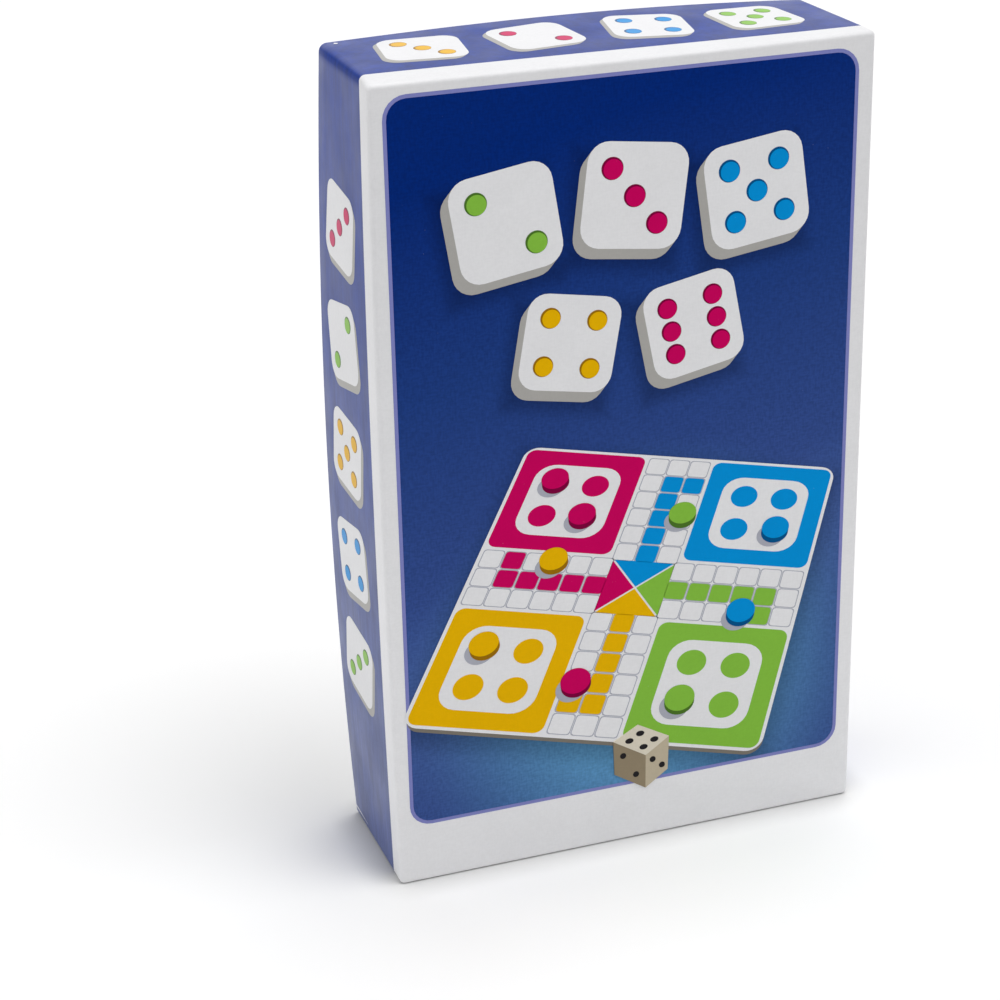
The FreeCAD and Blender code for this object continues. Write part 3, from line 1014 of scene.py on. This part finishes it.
def front_sheet(sketch, node, material):
    """A sheet of paper over the whole front of a CAD piece, one layer of ink thick."""
    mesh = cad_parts[node].data
    front = min(vertex.co.y for vertex in mesh.vertices)
    places = {}
    under = []
    for polygon in mesh.polygons:
        corners = [mesh.vertices[i].co for i in polygon.vertices]
        if any(corner.y - front > FLAT_WITHIN * MM for corner in corners):
            continue
        keys = [(round(corner.x / MM, 3), round(corner.z / MM, 3)) for corner in corners]
        under.append(tuple(places.setdefault(key, len(places)) for key in keys))
    count = len(places)
    points = []
    for rise in (-INK_ROOT, INK):
        points += [(x, front / MM - rise, z) for x, z in places]
    edges = {edge for face in under for edge in zip(face, face[1:] + face[:1])}
    walls = [(a, b, count + b, count + a) for a, b in edges if (b, a) not in edges]
    over = [tuple(count + i for i in face) for face in under]
    sketch.add(points, under + over + walls, material)


def arm_print(team, inks):
    """The print on a board arm: white, a coloured end with four spots, the track's rings and the home row."""
    node = "board_arm_" + team
    front_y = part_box(node)[0].y / MM

    def on_arm(u, v, rise):
        return (ARM_MIDDLE_X - u, front_y - rise, ARM_MIDDLE_Z - v)

    def on_the_arm(outline):
        hits = []
        for u, v in outline:
            start = Vector(on_arm(u, v, 1.0)) * MM
            hits.append(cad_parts[node].ray_cast(start, Vector((0, 1, 0)), distance=2 * MM)[0])
        return all(hits)

    sketch = Sketch(on_arm)
    front_sheet(sketch, node, inks["white"])
    end = rounded_box(0, (BAND_START + ARM_END) / 2, 2 * ARM_HALF, ARM_END - BAND_START, ARM_END_ROUND)
    coloured = [(u, v) for u, v in end if v > BAND_START + ARM_END_ROUND]
    coloured += [(-ARM_HALF, BAND_START), (ARM_HALF, BAND_START)]
    sketch.plate(hull(coloured), 2, inks[team])
    field_middle = (FIELD_START + FIELD_END) / 2
    field = rounded_box(0, field_middle, 2 * FIELD_HALF, FIELD_END - FIELD_START, FIELD_ROUND)
    sketch.plate(field, 3, inks["white"])
    slope = [(ARM_HALF, SLOPE_START), (FIELD_HALF, SLOPE_START), (FIELD_HALF, SLOPE_END)]
    for side in (-1, 1):
        sketch.plate([(side * u, v) for u, v in slope], 3, inks["white"])
    for i in range(4):
        sketch.plate(circle((i - 1.5) * WAITING_STEP, WAITING_ALONG, WAITING_SPOT), 3, inks["white"])
    teams = list(TEAM)
    last_row = TRACK_ROWS - 1
    for quarter in range(4):
        owner = teams[(teams.index(team) + quarter) % 4]
        marks = []
        for row in range(TRACK_ROWS):
            along = TRACK_SIDE + row * TRACK_STEP
            marks.append((TRACK_SIDE, along, TRACK_RING, "line"))
            if row:
                marks.append((-TRACK_SIDE, along, TRACK_RING, "line"))
            home = row < last_row
            marks.append((0.0, along, HOME_SPOT if home else TRACK_RING, owner if home else "line"))
        for u, v, radius, ink in marks:
            [(across, along)] = placed([(u, v)], -90 * quarter)
            outer = circle(across, along, radius)
            if not on_the_arm(outer):
                continue
            if ink == "line":
                sketch.ring(outer, circle(across, along, radius - TRACK_LINE), 4, inks[ink])
            else:
                sketch.plate(outer, 4, inks[ink])
    start_along = TRACK_SIDE + last_row * TRACK_STEP
    start_ring = circle(-TRACK_SIDE, start_along, TRACK_RING)
    start_hole = circle(-TRACK_SIDE, start_along, TRACK_RING - START_LINE)
    sketch.ring(start_ring, start_hole, START_LEVEL, inks[team])
    sketch.make(f"arm_print_{team}", node)


# A counter's edges: how far in from its rim and behind its front the pressed edge runs, and the back's bevel
PRESSED_EDGE = [(0.0, 0.55), (0.12, 0.25), (0.35, 0.07), (0.65, 0.0)]
BACK_BEVEL = 0.15
COUNTER_POINTS = 72


def smooth_counter(team, number, materials):
    """A counter with a round rim: printed faces, a pressed front edge and a grey board core."""
    node = f"counter_{team}_{number}"
    low, high = [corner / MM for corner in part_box(node)]
    middle = (low + high) / 2
    radius = (high.z - low.z) / 2
    profile = [(radius - BACK_BEVEL, high.y), (radius, high.y - BACK_BEVEL)]
    profile += [(radius - inset, low.y + behind) for inset, behind in PRESSED_EDGE]
    rings = []
    for reach, y in profile:
        rings.append([(x, y, z) for x, z in circle(middle.x, middle.z, reach, COUNTER_POINTS)])
    printed, core = range(2)
    bands = [core] * 2 + [printed] * 5
    piece = swept(f"{node}_disc", rings, bands, materials, node, smooth_angle=35)
    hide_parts(node)


# Die: its rounded edges and dished pips, with opposite faces adding up to seven
DIE_EDGE_ROUND = 1.5
PIP_SPREAD = 4.0
PIP_BALL = 2.0
PIP_SINK = 0.7
DIE_FACES = {
    1: ((1, 0, 0), (0, 1, 0)),
    6: ((-1, 0, 0), (0, 1, 0)),
    2: ((0, 0, 1), (1, 0, 0)),
    5: ((0, 0, -1), (1, 0, 0)),
    3: ((0, -1, 0), (1, 0, 0)),
    4: ((0, 1, 0), (1, 0, 0)),
}


def mesh_object(name, shape, materials):
    """An object from a bmesh, with its materials."""
    mesh = bpy.data.meshes.new(name)
    shape.to_mesh(mesh)
    shape.free()
    for material in materials:
        mesh.materials.append(material)
    return show(name, mesh)


def rounded_die():
    """The die with rounded edges, and each pip a shallow dark dish."""
    low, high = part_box("wooden_die")
    middle = (low + high) / 2
    edge = high.x - low.x
    materials = [pale_wood(), plain_ink("die_pip", PIP_BLACK, 0.3)]
    shape = bmesh.new()
    bmesh.ops.create_cube(shape, size=edge, matrix=Matrix.Translation(middle))
    bmesh.ops.bevel(
        shape, geom=shape.edges[:], offset=DIE_EDGE_ROUND * MM, segments=5, profile=0.5, affect="EDGES"
    )
    cube = mesh_object("die_cube", shape, materials)
    drills = bmesh.new()
    for count, axes in DIE_FACES.items():
        outward, across = map(Vector, axes)
        up = outward.cross(across)
        for a, b in PIP_LAYOUT[count]:
            spot = middle + outward * (edge / 2 + (PIP_BALL - PIP_SINK) * MM)
            spot += (across * a + up * b) * PIP_SPREAD * MM
            ball = bmesh.ops.create_uvsphere(
                drills, u_segments=28, v_segments=16, radius=PIP_BALL * MM, matrix=Matrix.Translation(spot)
            )
            for face in {f for v in ball["verts"] for f in v.link_faces}:
                face.material_index = 1
    balls = mesh_object("die_drills", drills, materials)
    cut = cube.modifiers.new("pips", "BOOLEAN")
    cut.operation = "DIFFERENCE"
    cut.solver = "EXACT"
    cut.object = balls
    made = bpy.data.meshes.new_from_object(cube.evaluated_get(bpy.context.evaluated_depsgraph_get()))
    bpy.data.objects.remove(cube)
    bpy.data.objects.remove(balls)
    made.name = "die_body"
    made.shade_smooth()
    made.set_sharp_from_angle(angle=math.radians(38))
    die = show("die_body", made)
    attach(die, "wooden_die")
    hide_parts("wooden_die")


# Leaflet's print: margin, heading, spots, and lines of text, of which each paragraph's last is short
PAGE_MARGIN = 9.0
HEADING_SHARE = 0.6
HEADING_HEIGHT = 6.0
HEADING_ROUND = 0.6
SPOTS_DROP = 17.0
PAGE_SPOT_STEP = 12.0
PAGE_SPOT = 4.2
TEXT_DROP = 30.0
TEXT_LINES = 22
TEXT_STEP = 4.1
TEXT_HEIGHT = 1.5
TEXT_ROUND = 0.3
PARAGRAPH_LINES = 6
SHORT_LINE = 0.62
FULL_LINE = 0.94
RAGGED = 0.06
RAGGED_BEAT = 2.3


def leaflet_print(inks):
    """Plain bars on the leaflet's front where a heading and lines of text would be, and a row of spots."""
    low, high = [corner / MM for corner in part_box("rules_leaflet")]
    left = low.x + PAGE_MARGIN
    top = high.z - PAGE_MARGIN
    width = high.x - low.x - 2 * PAGE_MARGIN

    def on_leaflet(x, z, rise):
        return (x, low.y - rise, z)

    page = Sketch(on_leaflet)

    def bar(share, middle_z, height, radius, ink):
        outline = rounded_box(left + share * width / 2, middle_z, share * width, height, radius)
        page.plate(outline, 1, inks[ink])

    bar(HEADING_SHARE, top - HEADING_HEIGHT / 2, HEADING_HEIGHT, HEADING_ROUND, "shade_blue")
    for i, team in enumerate(TEAM):
        page.plate(circle(left + PAGE_SPOT_STEP * (i + 0.5), top - SPOTS_DROP, PAGE_SPOT), 1, inks[team])
    for line in range(TEXT_LINES):
        last = (line + 1) % PARAGRAPH_LINES == 0
        share = SHORT_LINE if last else FULL_LINE + RAGGED * math.sin(RAGGED_BEAT * line)
        bar(share, top - TEXT_DROP - TEXT_STEP * line, TEXT_HEIGHT, TEXT_ROUND, "text")
    page.make("leaflet_print", "rules_leaflet")


def dress_contents(inks):
    greyboard = fibres("greyboard", GREYBOARD, 0.7, 0.16, 0.05)
    paint("lid_board", greyboard)
    paint("tray_board", greyboard)
    paint("tray_wrap", fibres("plain_wrap", PAPER_WHITE, 0.8, 0.05, 0.01, 0.6))
    paint("card_insert", fibres("white_card", CARD_WHITE, 0.9, 0.05, 0.015, 0.65))
    paint("rules_leaflet", fibres("leaflet_paper", LEAFLET_WHITE, 0.5, 0.03, 0.006, 0.8))
    for team in TEAM:
        paint("board_arm_" + team, greyboard)
        arm_print(team, inks)
        for number in range(1, 5):
            smooth_counter(team, number, [inks[team], greyboard])
    leaflet_print(inks)
    rounded_die()


# Light: the world's level on the object, and each sun's name, side, strength and width in degrees
WORLD_LIGHT = 0.31
SUNS = [
    ("key", (0.3, -0.3, 0.9), 1.3, 34),
    ("overhead", (0.15, 0.17, 1.0), 0.78, 24),
    ("left_fill", (-0.85, -0.15, 0.5), 0.85, 90),
]

# Floor: half its side in metres, its whites as light falls on it and as it is seen, and a lift of the latter
FLOOR_HALF = 3.0
FLOOR_WHITE = 0.78
FLOOR_SHADOW = 0.96
FLOOR_LIFT = 0.03

# How far the thin shade at the foot reaches over the floor, and how dark it is
CONTACT_REACH = 8.0
CONTACT_DARK = 0.6


def seen_directly(tree):
    """One where a ray comes from the camera, a reflection or through glass, and nought elsewhere."""
    path = add_node(tree, "ShaderNodeLightPath", {})
    seen = path.outputs["Is Camera Ray"]
    for other in ("Is Glossy Ray", "Is Transmission Ray"):
        either = add_node(tree, "ShaderNodeMath", {0: seen, 1: path.outputs[other]}, operation="MAXIMUM")
        seen = either.outputs[0]
    return seen


def floor():
    """A white floor that keeps the object's shadow, with a thin shade where something stands on it."""
    mesh = bpy.data.meshes.new("floor")
    corners = [(a * FLOOR_HALF, b * FLOOR_HALF, 0) for a, b in ((-1, -1), (1, -1), (1, 1), (-1, 1))]
    mesh.from_pydata(corners, [], [(0, 1, 2, 3)])
    material = bpy.data.materials.new("floor_white")
    material.use_nodes = True
    tree = material.node_tree
    tree.nodes.clear()
    plain = add_node(tree, "ShaderNodeBsdfDiffuse", {"Color": (FLOOR_WHITE, FLOOR_WHITE, FLOOR_WHITE, 1.0)})
    near = add_node(tree, "ShaderNodeAmbientOcclusion", {"Distance": CONTACT_REACH * MM})
    levels = {0: near.outputs["AO"], 1: FLOOR_SHADOW * CONTACT_DARK, 2: FLOOR_SHADOW * (1 - CONTACT_DARK)}
    contact = add_node(tree, "ShaderNodeMath", levels, operation="MULTIPLY_ADD")
    keep = add_node(tree, "ShaderNodeBsdfDiffuse", {"Color": contact.outputs[0]})
    lift = add_node(tree, "ShaderNodeEmission", {"Strength": FLOOR_LIFT})
    bright = add_node(tree, "ShaderNodeAddShader", {0: keep.outputs[0], 1: lift.outputs[0]})
    sides = {0: seen_directly(tree), 1: plain.outputs[0], 2: bright.outputs[0]}
    choose = add_node(tree, "ShaderNodeMixShader", sides)
    add_node(tree, "ShaderNodeOutputMaterial", {"Surface": choose.outputs[0]})
    mesh.materials.append(material)
    show("floor", mesh)


def light():
    """Even light all round, white where it is seen directly, and wide suns for soft shadows."""
    world = bpy.data.worlds.new("studio")
    world.use_nodes = True
    tree = world.node_tree
    background = tree.nodes["Background"]
    background.inputs["Color"].default_value = (1.0, 1.0, 1.0, 1.0)
    levels = {0: seen_directly(tree), 1: 1.0 - WORLD_LIGHT, 2: WORLD_LIGHT}
    level = add_node(tree, "ShaderNodeMath", levels, operation="MULTIPLY_ADD")
    feed(tree, background.inputs["Strength"], level.outputs[0])
    bpy.context.scene.world = world
    for name, side, strength, width in SUNS:
        lamp = bpy.data.lights.new(name, "SUN")
        lamp.energy = strength
        lamp.angle = math.radians(width)
        show(name, lamp).rotation_euler = Vector(side).to_track_quat("Z", "Y").to_euler()


# Camera, fitted to the case's corners in the photograph
VIEW_AZIMUTH = math.radians(-19.08)
VIEW_ELEVATION = math.radians(23.03)
VIEW_ROLL = math.radians(-1.33)
VIEW_DISTANCE = 540.1
VIEW_TARGET = Vector((-23.63, 0.0, 80.93))
VIEW_FOCAL_PIXELS = 2466.6
IMAGE_PIXELS = 1000.0
NEAREST_SEEN = 10.0


def camera():
    a, e, r = VIEW_AZIMUTH, VIEW_ELEVATION, VIEW_ROLL
    back = Vector((math.sin(a) * math.cos(e), -math.cos(a) * math.cos(e), math.sin(e)))
    level_right = Vector((math.cos(a), math.sin(a), 0.0))
    level_up = back.cross(level_right)
    right = math.cos(r) * level_right + math.sin(r) * level_up
    up = -math.sin(r) * level_right + math.cos(r) * level_up
    data = bpy.data.cameras.new("camera")
    data.sensor_fit = "HORIZONTAL"
    data.lens = data.sensor_width * VIEW_FOCAL_PIXELS / IMAGE_PIXELS
    data.clip_start = NEAREST_SEEN * MM
    view = show("camera", data)
    turn = Matrix((right, up, back)).transposed().to_4x4()
    view.matrix_world = Matrix.Translation((VIEW_TARGET + back * VIEW_DISTANCE) * MM) @ turn
    bpy.context.scene.camera = view


film_inks = ink_set("film", WALL_SHINE)
lid_skin()
front_print()
wall_print(film_inks)
wear(film_inks)
dress_contents(film_inks)
floor()
light()
camera()
bpy.context.scene.view_settings.view_transform = "Standard"
